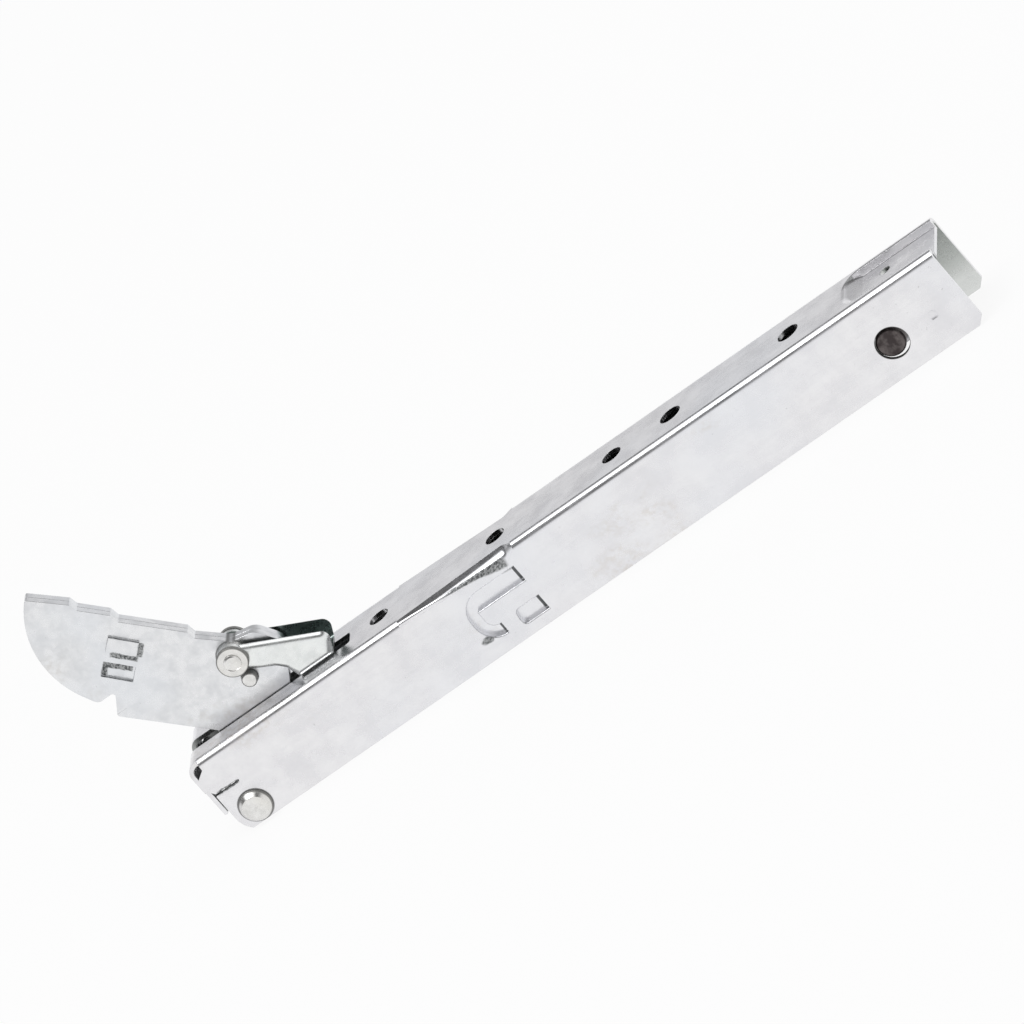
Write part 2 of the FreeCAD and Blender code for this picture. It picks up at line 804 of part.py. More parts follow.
os.makedirs("parts", exist_ok=True)
for name, build in parts.items():
    shape = build()
    solids = shape.Solids
    if len(solids) == 1:
        shape = solids[0]
    shape.exportStep("parts/" + name + ".step")
    print(name, len(solids), "solid", round(shape.Volume, 1), "mm3", "valid" if shape.isValid() else "INVALID")
print("slider travel", round(slider_travel, 4), "lever rise", round(lever_rise, 3))
print("pivot", pivot_x, pivot_z, "latch pin", latch_pin_x, latch_pin_z)
print("lever pin", round(lever_x, 4), round(lever_z, 4), "slider", round(slider_x, 4))
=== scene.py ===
import json
import math
import bmesh
import bpy
from mathutils import Matrix, Vector


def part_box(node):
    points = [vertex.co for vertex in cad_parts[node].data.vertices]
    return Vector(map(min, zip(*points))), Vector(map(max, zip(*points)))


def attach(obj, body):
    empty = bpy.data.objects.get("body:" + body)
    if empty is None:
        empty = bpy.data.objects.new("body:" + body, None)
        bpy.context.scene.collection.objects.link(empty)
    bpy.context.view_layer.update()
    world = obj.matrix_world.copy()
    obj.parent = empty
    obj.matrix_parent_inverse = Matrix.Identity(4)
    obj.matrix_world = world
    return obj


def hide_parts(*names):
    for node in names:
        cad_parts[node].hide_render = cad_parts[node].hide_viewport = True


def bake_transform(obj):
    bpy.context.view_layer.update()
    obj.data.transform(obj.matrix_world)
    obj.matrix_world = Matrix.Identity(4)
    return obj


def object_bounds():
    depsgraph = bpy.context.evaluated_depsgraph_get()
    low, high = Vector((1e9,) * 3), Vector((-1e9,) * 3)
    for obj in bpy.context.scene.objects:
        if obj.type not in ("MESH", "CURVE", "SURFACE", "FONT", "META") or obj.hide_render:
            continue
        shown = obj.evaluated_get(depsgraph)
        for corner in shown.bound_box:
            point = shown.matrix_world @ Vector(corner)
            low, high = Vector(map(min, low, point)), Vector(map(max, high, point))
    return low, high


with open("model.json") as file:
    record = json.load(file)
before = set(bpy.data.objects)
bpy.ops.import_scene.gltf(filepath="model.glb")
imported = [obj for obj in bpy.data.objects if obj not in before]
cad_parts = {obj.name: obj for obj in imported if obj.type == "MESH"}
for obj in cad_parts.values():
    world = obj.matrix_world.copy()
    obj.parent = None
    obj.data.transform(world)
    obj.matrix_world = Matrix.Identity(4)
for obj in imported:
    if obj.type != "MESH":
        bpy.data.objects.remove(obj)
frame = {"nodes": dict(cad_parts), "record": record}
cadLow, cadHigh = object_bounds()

scene = bpy.context.scene
nodes = frame["nodes"]
record = frame["record"]
bodyOfNode = {node: body for body, group in record["behaviour"]["bodies"].items() for node in group}
slotOfNode = {part["node"]: part["material_slot"] for part in record["subparts"]}
mm = 0.001


# Shader maths: a wrapped socket adds its Math nodes when it is used in an expression

class Wire:
    def __init__(self, network, socket):
        self.network = network
        self.socket = socket

    def combine(self, operation, first, second):
        return self.network.add("ShaderNodeMath", {"operation": operation}, {0: first, 1: second})

    def __add__(self, other):
        return self.combine("ADD", self, other)

    def __radd__(self, other):
        return self.combine("ADD", other, self)

    def __sub__(self, other):
        return self.combine("SUBTRACT", self, other)

    def __rsub__(self, other):
        return self.combine("SUBTRACT", other, self)

    def __mul__(self, other):
        return self.combine("MULTIPLY", self, other)

    def __rmul__(self, other):
        return self.combine("MULTIPLY", other, self)

    def __truediv__(self, other):
        return self.combine("DIVIDE", self, other)

    def __rtruediv__(self, other):
        return self.combine("DIVIDE", other, self)

    def __abs__(self):
        return self.network.add("ShaderNodeMath", {"operation": "ABSOLUTE"}, {0: self})


class Network:
    def __init__(self, owner):
        owner.use_nodes = True
        self.tree = owner.node_tree

    def add(self, kind, settings, sockets, output=0):
        node = self.tree.nodes.new(kind)
        for setting, value in settings.items():
            if setting == "stops":
                setStops(node.color_ramp.elements, value)
            else:
                setattr(node, setting, value)
        self.fill(node, sockets)
        return Wire(self, node.outputs[output])

    def fill(self, node, sockets):
        for socket, value in sockets.items():
            if isinstance(value, Wire):
                self.tree.links.new(value.socket, node.inputs[socket])
            else:
                node.inputs[socket].default_value = value


def setStops(elements, stops):
    for number, (position, colour) in enumerate(stops):
        stop = elements[number] if number < 2 else elements.new(position)
        stop.position = position
        stop.color = (*colour, 1)


class Finish(Network):
    def __init__(self, name):
        self.material = bpy.data.materials.new(name)
        super().__init__(self.material)
        self.shader = self.tree.nodes["Principled BSDF"]
        self.place = self.add("ShaderNodeTexCoord", {}, {}, "Object")

    def feed(self, socket, value):
        self.fill(self.shader, {socket: value})

    def stretched(self, scale, turn=0.0, shift=(0, 0, 0)):
        return self.add("ShaderNodeMapping", {}, {"Vector": self.place, "Scale": scale,
                                                  "Rotation": (0, turn, 0), "Location": shift})

    def noise(self, scale, detail=4.0, rough=0.55, vector=None):
        return self.add("ShaderNodeTexNoise", {}, {"Vector": vector or self.place, "Scale": scale,
                                                   "Detail": detail, "Roughness": rough}, "Fac")

    def between(self, wire, low, high):
        return self.add("ShaderNodeMapRange", {"interpolation_type": "SMOOTHSTEP"},
                        {"Value": wire, "From Min": low, "From Max": high})

    def along(self, axis):
        return self.add("ShaderNodeSeparateXYZ", {}, {0: self.place}, axis)

    def most(self, first, second):
        return self.add("ShaderNodeMath", {"operation": "MAXIMUM"}, {0: first, 1: second})

    def mark(self, name):
        return self.add("ShaderNodeAttribute", {"attribute_name": name}, {}, "Fac")

    def mix(self, share, first, second):
        colours = [colour if isinstance(colour, Wire) else (*colour, 1) for colour in (first, second)]
        return self.add("ShaderNodeMix", {"data_type": "RGBA"}, {0: share, 6: colours[0], 7: colours[1]}, 2)


# Zinc plate: pale metal with soft mottling, faint rolling streaks, small specks, rubs and a little stain

zincLooks = {
    "zinc_channel": {"pale": (0.86, 0.855, 0.865), "grey": (0.78, 0.775, 0.795), "tint": (0.81, 0.825, 0.86),
                     "mottle": 95, "streak": (45, 420, 420), "streakTurn": 0.0, "streakShare": 0.25,
                     "specks": 0.75, "stain": 0.40, "roughLow": 0.17, "roughHigh": 0.30},
    "zinc_arm": {"pale": (0.83, 0.835, 0.845), "grey": (0.72, 0.73, 0.745), "tint": (0.78, 0.80, 0.83),
                 "mottle": 260, "streak": (420, 420, 90), "streakTurn": 0.85, "streakShare": 0.12,
                 "specks": 0.75, "stain": 0.25, "roughLow": 0.22, "roughHigh": 0.36},
    "zinc_latch": {"pale": (0.87, 0.885, 0.87), "grey": (0.76, 0.78, 0.77), "tint": (0.82, 0.845, 0.845),
                   "mottle": 260, "streak": (120, 500, 500), "streakTurn": -0.6, "streakShare": 0.25,
                   "specks": 0.5, "stain": 0.15, "roughLow": 0.18, "roughHigh": 0.32},
    "zinc_link": {"pale": (0.76, 0.765, 0.775), "grey": (0.58, 0.585, 0.595), "tint": (0.70, 0.72, 0.76),
                  "mottle": 200, "streak": (60, 500, 500), "streakTurn": 0.0, "streakShare": 0.4,
                  "specks": 0.5, "stain": 0.1, "roughLow": 0.22, "roughHigh": 0.40},
    "zinc_rivet": {"pale": (0.83, 0.825, 0.81), "grey": (0.68, 0.675, 0.66), "tint": (0.80, 0.785, 0.74),
                   "mottle": 420, "streak": (300, 300, 300), "streakTurn": 0.0, "streakShare": 0.2,
                   "specks": 0.4, "stain": 0.2, "roughLow": 0.16, "roughHigh": 0.30},
}

# What every zinc finish shares: noise scales, the pairs of noise levels where a blemish starts and is full,
# its colour, and what it adds to the roughness and to the bump's height
plateLooks = {"broad": 0.2, "grain": 2600, "pattern": (0.34, 0.68), "tinted": (0.42, 0.70), "tintShare": 0.6,
              "clusterScale": 48, "clusters": (0.52, 0.66), "loose": 0.2,
              "speckScale": 1050, "specks": (0.685, 0.735), "speck": (0.20, 0.19, 0.18),
              "rubScale": (90, 1500, 1500), "rubTurn": 0.5, "rubs": (0.70, 0.75), "rub": (0.36, 0.36, 0.37),
              "rubShare": 0.5,
              "stainScale": 26, "stained": (0.58, 0.74), "stain": (0.58, 0.51, 0.42),
              "stainGrain": 520, "stainGrained": (0.40, 0.62),
              "grainRough": 0.05, "stainRough": 0.06, "tornRough": 0.25, "rimShadowRough": 0.5,
              "mottleHeight": 0.4, "grainHeight": 0.2, "streakHeight": 0.2, "tornHeight": 3,
              "edge": 0.12, "bump": 0.10, "bumpDepth": 0.06}

# Inner faces get painted shade, darkest away from the channel's open ends where the spring lies, dark
# green-grey on the latch's cheeks; the fades are millimetres along X
innerShadeLooks = {"open": (0.70, 0.72, 0.70), "innerShade": (0.11, 0.115, 0.11), "cheek": (0.20, 0.26, 0.25),
               "share": 0.85, "farFade": (136, 108), "nearFade": (-118, -100)}

# Painted shadow where a rivet head or pin meets its plate: centre, inner and outer radius in millimetres, and
# share
rimLooks = {
    "zinc_channel": [((-98.0, -19.9), 4.7, 5.1, 0.7), ((124.0, -14.9), 4.6, 4.85, 1.0)],
    "zinc_arm": [((-78.1, 8.1), 2.1, 2.5, 0.7), ((-77.8, 15.7), 4.4, 4.8, 0.7)],
    "zinc_rivet": [((-98.0, -19.9), 4.45, 4.9, 0.7), ((-78.1, 8.1), 1.9, 2.3, 0.7),
                   ((-77.8, 15.7), 4.15, 4.6, 0.7)],
}
rimShadowLooks = {"colour": (0.09, 0.09, 0.085), "softness": 0.15}

# Torn and dragged metal, dark and grainy, and painted shade and shadow beside it, in millimetres from the
# origin:
# the flank of the drawn-in fold along and across it, painted shade with grain, the dragged tip of the long
# stop, also painted shade with grain, the open gaps at the stops' sheared ends as limits of X and of Z,
# painted shadow, the ear's slit as limits of X, middle and half height, painted shadow, and strips beside the
# arm's half-shears as centre, reach along and reach across, torn grain with painted shadow
tornAndShadeLooks = {"dark": (0.055, 0.06, 0.06), "pale": (0.42, 0.43, 0.43), "grain": 1500, "grained": (0.44, 0.56),
             "cut": 0.8, "share": 0.9, "gapShade": 0.9,
             "raggedScale": 300, "flank": (-23.0, 1.5), "flankFade": 9, "flankRagged": (5, 0.5),
             "flankAcross": (-2.6, -0.35),
             "tip": (-16.9, -19.0), "tipSize": 2.4, "tipSquash": 1.8, "tipRagged": 1.2,
             "gaps": [(0.95, 2.45, -10.7, -5.8), (0.95, 2.45, -21.3, -16.7), (-12.0, -10.8, -20.3, -17.3)],
             "slit": (-104.0, -97.2, -11.1, 0.75),
             "shearTurn": -48.5, "shearRaggedScale": 420, "shearRagged": 1.1, "plateSide": (1.2, 1.4),
             "shears": [((-99.8, 36.2), (-2.8, 4.8), (-3.9, -2.0)),
                        ((-99.8, 36.2), (4.2, 5.7), (-2.4, 1.9)),
                        ((-105.6, 30.8), (-4.4, 3.8), (0.4, 2.3)),
                        ((-105.6, 30.8), (-4.5, -2.9), (-2.2, 2.3))]}

# The channel from its middle out in millimetres, and its drawn-in folds, flat bands that widen along X
channelLooks = {"halfWidth": 12, "outside": (11.7, 11.9), "recessed": (11.3, 11.1),
                "foldRise": 0.0417, "foldHalf": 2.39, "foldLeast": 1.0,
                "foldDepth": 1.02, "foldRun": (-34, 6)}
slant = 0.7071


def beyond(finish, wire, limits):
    start, full = limits
    return finish.between(wire, start * mm, full * mm)


def strip(finish, wire, low, high, soft):
    return beyond(finish, wire, (low - soft, low + soft)) * beyond(finish, wire, (high + soft, high - soft))


def anyOf(finish, wires):
    total = wires[0]
    for wire in wires[1:]:
        total = finish.most(total, wire)
    return total


# Painted shadow rings where rivet heads and pins meet their plates
def rimShadows(finish, rims):
    x, z = finish.along("X"), finish.along("Z")
    soft = rimShadowLooks["softness"]
    rings = []
    for (atX, atZ), inner, outer, share in rims:
        acrossX, acrossZ = x - atX * mm, z - atZ * mm
        spread = (acrossX * acrossX + acrossZ * acrossZ) * (1 / mm / mm)
        outwards = finish.between(spread, (inner - soft) ** 2, (inner + soft) ** 2)
        inwards = finish.between(spread, (outer + soft) ** 2, (outer - soft) ** 2)
        rings.append(outwards * inwards * share)
    return anyOf(finish, rings)


def zincFinish(name, look):
    plate = plateLooks
    finish = Finish(name)
    mottle = finish.noise(look["mottle"], 6, 0.66)
    broad = finish.noise(look["mottle"] * plate["broad"], 3, 0.5)
    streak = finish.noise(1.0, 4, 0.65, finish.stretched(look["streak"], look["streakTurn"]))
    grain = finish.noise(plate["grain"], 2, 0.6)
    mixed = mottle * (1 - look["streakShare"]) + streak * look["streakShare"]
    pattern = finish.between(mixed, *plate["pattern"])
    colour = finish.mix(pattern, look["pale"], look["grey"])
    colour = finish.mix(finish.between(broad, *plate["tinted"]) * plate["tintShare"], colour, look["tint"])

    # Specks and short rubs
    clusters = finish.between(finish.noise(plate["clusterScale"], 3, 0.6), *plate["clusters"])
    specks = finish.between(finish.noise(plate["speckScale"], 3, 0.7), *plate["specks"])
    specks = specks * (clusters * (1 - plate["loose"]) + plate["loose"])
    rubbed = finish.noise(1.0, 3, 0.6, finish.stretched(plate["rubScale"], plate["rubTurn"]))
    rubs = finish.between(rubbed, *plate["rubs"])
    colour = finish.mix(specks * look["specks"], colour, plate["speck"])
    colour = finish.mix(rubs * clusters * plate["rubShare"], colour, plate["rub"])

    # Brownish storage stain in a few places
    stained = finish.noise(plate["stainScale"], 5, 0.6, finish.stretched((1, 1, 1.6), 0.4, (0.3, 0, 0.1)))
    stainArea = finish.between(stained, *plate["stained"])
    stainGrain = finish.between(finish.noise(plate["stainGrain"], 4, 0.7), *plate["stainGrained"])
    colour = finish.mix(stainArea * stainGrain * look["stain"], colour, plate["stain"])

    # Painted shade on the inner faces, torn grain with painted shade and shadow at the cuts and stops,
    # painted shadow round the pins
    x = finish.along("X")
    depth = beyond(finish, x, innerShadeLooks["farFade"]) * beyond(finish, x, innerShadeLooks["nearFade"])
    deepestShade = innerShadeLooks["cheek"] if name == "zinc_latch" else innerShadeLooks["innerShade"]
    innerShade = finish.mix(depth, innerShadeLooks["open"], deepestShade)
    colour = finish.mix(finish.mark("inner") * innerShadeLooks["share"], colour, innerShade)
    tornGrain = finish.between(finish.noise(tornAndShadeLooks["grain"], 3, 0.8), *tornAndShadeLooks["grained"])
    tornAndShade = finish.mark("tornAndShade") * tornAndShadeLooks["cut"]
    if name == "zinc_channel":
        # The stops' open gaps are painted shadow, which darkens their grain too
        gaps = gapShadows(finish)
        tornAndShade = anyOf(finish, [pulledAndShaded(finish), gaps, tornAndShade])
        tornGrain = tornGrain * (1 - gaps * tornAndShadeLooks["gapShade"])
    if name == "zinc_arm":
        tornAndShade = finish.most(tornAndShade, shearDragAndShadow(finish))
    rimShadow = rimShadows(finish, rimLooks[name]) if name in rimLooks else 0.0
    colour = finish.mix(rimShadow, colour, rimShadowLooks["colour"])
    # Torn grain and painted shade and shadow share one dark colour
    tornAndShadeColour = finish.mix(tornGrain, tornAndShadeLooks["dark"], tornAndShadeLooks["pale"])
    colour = finish.mix(tornAndShade * tornAndShadeLooks["share"], colour, tornAndShadeColour)
    finish.feed("Base Color", colour)

    rough = pattern * (look["roughHigh"] - look["roughLow"]) + look["roughLow"] + grain * plate["grainRough"]
    rough = rough + stainArea * plate["stainRough"] + tornAndShade * plate["tornRough"] + rimShadow * plate["rimShadowRough"]
    finish.feed("Roughness", rough)
    finish.feed("Metallic", 1.0)

    rounded = finish.add("ShaderNodeBevel", {"samples": 4}, {"Radius": plate["edge"] * mm})
    height = mottle * plate["mottleHeight"] + grain * plate["grainHeight"] + streak * plate["streakHeight"]
    height = height + tornAndShade * tornGrain * plate["tornHeight"]
    bump = finish.add("ShaderNodeBump", {}, {"Strength": plate["bump"], "Distance": plate["bumpDepth"] * mm,
                                             "Height": height, "Normal": rounded})
    if name == "zinc_channel":
        bump = finish.add("ShaderNodeBump", {}, {"Strength": 1.0, "Distance": mm,
                                                 "Height": foldRound(finish) + seatRoll(finish),
                                                 "Normal": bump})
    finish.feed("Normal", bump)
    return finish.material


# The drawn-in fold's flank, the long stop's tip and the ear's slit: dark grain with painted shade and shadow
def pulledAndShaded(finish):
    look = tornAndShadeLooks
    x, z, y = finish.along("X"), finish.along("Z"), abs(finish.along("Y"))
    outside = beyond(finish, y, channelLooks["outside"])
    ragged = finish.noise(look["raggedScale"], 4, 0.7) - 0.5

    # The fold's flank: a wedge, narrow at its near end, painted dark as shade with grain
    low, high = look["flank"]
    raggedAlong, raggedAcross = look["flankRagged"]
    run = beyond(finish, x + ragged * (raggedAlong * mm), (low, low + look["flankFade"]))
    run = run * beyond(finish, x, (high + 0.8, high - 0.8))
    across = (z - y + channelLooks["halfWidth"] * mm) * slant + ragged * (raggedAcross * mm)
    narrowing = beyond(finish, x, (high, low)) * 1.6 + 0.8
    flank = run * strip(finish, across * narrowing, *look["flankAcross"], 0.25)

    # The long stop's tip, painted dark as shade with grain, and the slit of the ear, painted as its shadow
    tipX = x - look["tip"][0] * mm
    tipZ = (z - look["tip"][1] * mm) * look["tipSquash"]
    area = (look["tipSize"] * mm) ** 2
    spread = tipX * tipX + tipZ * tipZ + ragged * (area * look["tipRagged"])
    tip = finish.between(spread, area, area * 0.4) * outside
    slitLow, slitHigh, slitZ, slitHalf = look["slit"]
    slitAcross = abs(z - slitZ * mm + ragged * mm)
    slit = strip(finish, x, slitLow, slitHigh, 0.5) * beyond(finish, slitAcross, (slitHalf, slitHalf - 0.3))
    return anyOf(finish, [tip, slit * outside, flank])


# The gaps are painted shadow; they lie below the flange's outer face, so they are marked from that depth
# inwards
def gapShadows(finish):
    x, z, y = finish.along("X"), finish.along("Z"), abs(finish.along("Y"))
    shares = [strip(finish, x, west, east, 0.12) * strip(finish, z, low, high, 0.15)
              for west, east, low, high in tornAndShadeLooks["gaps"]]
    return anyOf(finish, shares) * beyond(finish, y, channelLooks["recessed"])


# Strips beside the arm's half-shears: torn grain with painted shadow
def shearDragAndShadow(finish):
    x, z, y = finish.along("X"), finish.along("Z"), abs(finish.along("Y"))
    turn = math.radians(tornAndShadeLooks["shearTurn"])
    ragged = (finish.noise(tornAndShadeLooks["shearRaggedScale"], 4, 0.7) - 0.5) * (tornAndShadeLooks["shearRagged"] * mm)
    shares = []
    for (atX, atZ), (west, east), (low, high) in tornAndShadeLooks["shears"]:
        along = (x - atX * mm) * math.cos(turn) + (z - atZ * mm) * math.sin(turn)
        across = (z - atZ * mm) * math.cos(turn) - (x - atX * mm) * math.sin(turn)
        lengthwise = strip(finish, along + ragged, west, east, 0.3)
        shares.append(lengthwise * strip(finish, across + ragged, low, high, 0.2))
    return anyOf(finish, shares) * beyond(finish, y, tornAndShadeLooks["plateSide"])


# The drawn-in fold is rolled, not creased: its flat band is shaded as an arc from flange to web
def foldRound(finish):
    x, z, y = finish.along("X"), finish.along("Z"), abs(finish.along("Y"))
    look = channelLooks
    across = (z - y + look["halfWidth"] * mm) * (slant / mm)
    half = finish.most(x * (look["foldRise"] / mm) + look["foldHalf"], look["foldLeast"])
    return (across * across * -0.5) / half * finish.mark("drawn")


# The pressed seat's rim is rolled too: a smooth rise across its rounded outline, in millimetres
seatLooks = {"start": 119.0, "half": 8.3, "corner": 6.0, "roll": 1.1, "rise": 0.45,
             "wall": 0.5, "floor": -2.3}


def seatRoll(finish):
    look = seatLooks
    x, y = finish.along("X") * (1 / mm), abs(finish.along("Y")) * (1 / mm)
    inFromStart = finish.most(look["start"] + look["corner"] - x, 0.0)
    outFromMiddle = finish.most(y - (look["half"] - look["corner"]), 0.0)
    spread = inFromStart * inFromStart + outFromMiddle * outFromMiddle
    inner, outer = look["corner"] - look["roll"], look["corner"] + look["roll"]
    return finish.between(spread, inner * inner, outer * outer) * look["rise"]


# Phosphated pins: dark brown, worn in patches, with turning marks
darkLooks = {"brown": (0.055, 0.045, 0.045), "worn": (0.17, 0.15, 0.145), "rough": 0.42, "metallic": 0.85}


def darkPinFinish(name):
    finish = Finish(name)
    patches = finish.between(finish.noise(380, 5, 0.65), 0.40, 0.66)
    rings = finish.noise(1500, 2, 0.5)
    finish.feed("Base Color", finish.mix(patches, darkLooks["brown"], darkLooks["worn"]))
    finish.feed("Roughness", patches * 0.16 + darkLooks["rough"] + rings * 0.08)
    finish.feed("Metallic", darkLooks["metallic"])
    rounded = finish.add("ShaderNodeBevel", {"samples": 4}, {"Radius": plateLooks["edge"] * mm})
    bump = finish.add("ShaderNodeBump", {}, {"Strength": 0.25, "Distance": 0.05 * mm,
                                             "Height": rings * 0.4 + patches * 0.6, "Normal": rounded})
    finish.feed("Normal", bump)
    return finish.material


# Spring wire: drawn steel, dulled by oil
wireLooks = {"bright": (0.50, 0.50, 0.51), "dull": (0.24, 0.24, 0.25), "roughLow": 0.24, "roughHigh": 0.44}


def springWireFinish(name):
    finish = Finish(name)
    drawn = finish.noise(1.0, 3, 0.6, finish.stretched((900, 240, 900)))
    oil = finish.between(finish.noise(70, 4, 0.6), 0.42, 0.64)
    share = finish.between(drawn * 0.6 + oil * 0.4, 0.30, 0.72)
    finish.feed("Base Color", finish.mix(share, wireLooks["bright"], wireLooks["dull"]))
    finish.feed("Roughness", share * (wireLooks["roughHigh"] - wireLooks["roughLow"]) + wireLooks["roughLow"])
    finish.feed("Metallic", 1.0)
    bump = finish.add("ShaderNodeBump", {}, {"Strength": 0.15, "Distance": 0.04 * mm, "Height": drawn})
    finish.feed("Normal", bump)
    return finish.material


finishes = {slot: zincFinish(slot, look) for slot, look in zincLooks.items()}
finishes["dark_pin"] = darkPinFinish("dark_pin")
finishes["spring_wire"] = springWireFinish("spring_wire")
print("finishes made:", len(finishes))


# Pressed and cut pieces: a merged copy of the piece with its sheared edges broken

edgeLooks = {
    "channel": 0.14,
    "arm_plate_near": 0.16,
    "arm_plate_far": 0.16,
    "latch": 0.16,
    "link_strap_near": 0.14,
    "link_strap_far": 0.14,
}


# Where each piece's cut walls are painted dark, as boxes in millimetres: painted shade at the channel's stop
# ends and slit, torn grain with painted shadow at the arm's half-shears; the walls of a cut inside one are
# marked
tornAndShadeBoxes = {
    "channel": [((2.2, -12.1, -22), (2.8, 12.1, -5)),
                ((-107.2, -12.1, -12.2), (-96.0, 12.1, -9.8))],
    "arm_plate_near": [((-105.2, -3.4, 31.2), (-94.6, 0.9, 41.4)),
                       ((-110.9, -3.4, 25.8), (-100.4, 0.9, 36.0))],
    "arm_plate_far": [((-105.2, -0.9, 31.2), (-94.6, 3.4, 41.4)),
                      ((-110.9, -0.9, 25.8), (-100.4, 3.4, 36.0))],
}


# Marks the inner faces, which get painted shade, the walls of torn cuts, which get torn grain and painted
# shade, and the bands of the drawn-in folds, which lie some depth under the corner where web and flange would
# meet
def markFaces(mesh, boxes):
    inner = mesh.attributes.new("inner", "FLOAT", "FACE")
    tornAndShade = mesh.attributes.new("tornAndShade", "FLOAT", "FACE")
    drawn = mesh.attributes.new("drawn", "FLOAT", "FACE")
    foldLow, foldHigh = channelLooks["foldRun"]
    for number, face in enumerate(mesh.polygons):
        at, facing = face.center / mm, face.normal
        towardsMiddle = at.y * facing.y < 0 and abs(facing.y) > 0.5 and abs(at.y) > 3
        seatWall = abs(abs(at.y) - seatLooks["half"]) < seatLooks["wall"] and at.z > seatLooks["floor"]
        underWeb = facing.z < -0.5 and -4 < at.z < -0.5
        inner.data[number].value = (towardsMiddle and not seatWall) or underWeb
        wall = abs(facing.y) < 0.6
        within = any(all(low[i] < at[i] < high[i] for i in range(3)) for low, high in boxes)
        tornAndShade.data[number].value = wall and within
        depth = (channelLooks["halfWidth"] - abs(at.y) - at.z) * slant
        slanted = facing.z > 0.5 and at.y * facing.y > 0 and abs(abs(facing.y) - facing.z) < 0.07
        inRun = depth > channelLooks["foldDepth"] and foldLow < at.x < foldHigh
        drawn.data[number].value = slanted and inRun


def brokenEdges(node, width):
    source = nodes[node]
    mesh = source.data.copy()
    mesh.name = node + "_finished"
    tool = bmesh.new()
    tool.from_mesh(mesh)
    bmesh.ops.remove_doubles(tool, verts=tool.verts, dist=0.002 * mm)
    bmesh.ops.dissolve_limit(tool, angle_limit=math.radians(0.4), verts=tool.verts, edges=tool.edges)
    tool.to_mesh(mesh)
    tool.free()
    mesh.materials.clear()
    mesh.materials.append(finishes[slotOfNode[node]])
    for polygon in mesh.polygons:
        polygon.use_smooth = True
    mesh.set_sharp_from_angle(angle=math.radians(28))
    piece = bpy.data.objects.new(node + "_finished", mesh)
    scene.collection.objects.link(piece)

    bevel = piece.modifiers.new("brokenEdge", "BEVEL")
    bevel.width = width * mm
    bevel.segments = 2
    bevel.limit_method = "ANGLE"
    bevel.angle_limit = math.radians(50)
    bevel.use_clamp_overlap = True
    flat = piece.modifiers.new("flatFaces", "WEIGHTED_NORMAL")
    flat.keep_sharp = True
    flat.weight = 100
    bpy.context.view_layer.update()
    shaped = bpy.data.meshes.new_from_object(piece.evaluated_get(bpy.context.evaluated_depsgraph_get()))
    piece.modifiers.clear()
    piece.data = shaped
    markFaces(shaped, tornAndShadeBoxes.get(node, []))
    return piece


for node, width in edgeLooks.items():
    piece = brokenEdges(node, width)
    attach(piece, bodyOfNode[node])
    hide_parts(node)
    print("edges broken on", node, len(piece.data.polygons), "faces")


# Turned pieces keep their own meshes

for node, thing in nodes.items():
    if node in edgeLooks:
        continue
    thing.data.materials.clear()
    thing.data.materials.append(finishes[slotOfNode[node]])


# Tension spring: one wire from hook to hook, swept along its own path

springLooks = {"wire": 3.0, "coil": 16.3, "pitch": 3.2, "shank": 4.5, "play": 0.2, "hookSweep": 300,
               "nearPin": 2.0, "farPin": 3.6, "step": 0.45, "easing": 7, "sides": 20}


def springPath(look, span):
    wireRadius = look["wire"] / 2
    coilRadius = (look["coil"] - look["wire"]) / 2
    nearLoop = look["nearPin"] + look["play"] + wireRadius
    farLoop = look["farPin"] + look["play"] + wireRadius
    room = span - nearLoop - farLoop - 2 * look["shank"] - 2 * look["wire"]
    turns = int(room / look["pitch"])
    coilStart = nearLoop + look["shank"] + look["wire"] + (room - turns * look["pitch"]) / 2
    coilEnd = coilStart + turns * look["pitch"]
    sweep = math.radians(look["hookSweep"])
    path = []

    def arc(radius, centre, side):
        count = int(radius * sweep / look["step"])
        return [Vector((side * radius * math.sin(sweep * step / count), 0,
                        centre + side * radius * math.cos(sweep * step / count)))
                for step in range(count + 1)]

    def straight(start, end):
        count = max(2, int((end - start).length / look["step"]))
        return [start.lerp(end, step / count) for step in range(count)]

    def helix():
        length = turns * 2 * math.pi * coilRadius
        count = int(length / look["step"])
        points = []
        for step in range(count + 1):
            angle = 2 * math.pi * turns * step / count
            along = coilStart + (coilEnd - coilStart) * step / count
            points.append(Vector((coilRadius * math.cos(angle), coilRadius * math.sin(angle), along)))
        return points

    nearHook = arc(nearLoop, 0, 1)[::-1]
    farHook = arc(farLoop, span, -1)
    coil = helix()
    nearEnd = Vector((0, 0, coilStart - look["wire"]))
    farEnd = Vector((0, 0, coilEnd + look["wire"]))
    path += nearHook
    path += straight(nearHook[-1], nearEnd)[1:]
    path += straight(nearEnd, coil[0])
    path += coil
    path += straight(coil[-1], farEnd)[1:]
    path += straight(farEnd, farHook[0])
    path += farHook
    for _ in range(look["easing"]):
        middle = [(path[i - 1] + path[i] + path[i + 1]) / 3 for i in range(1, len(path) - 1)]
        path = [path[0]] + middle + [path[-1]]
    return path, coilStart, coilEnd


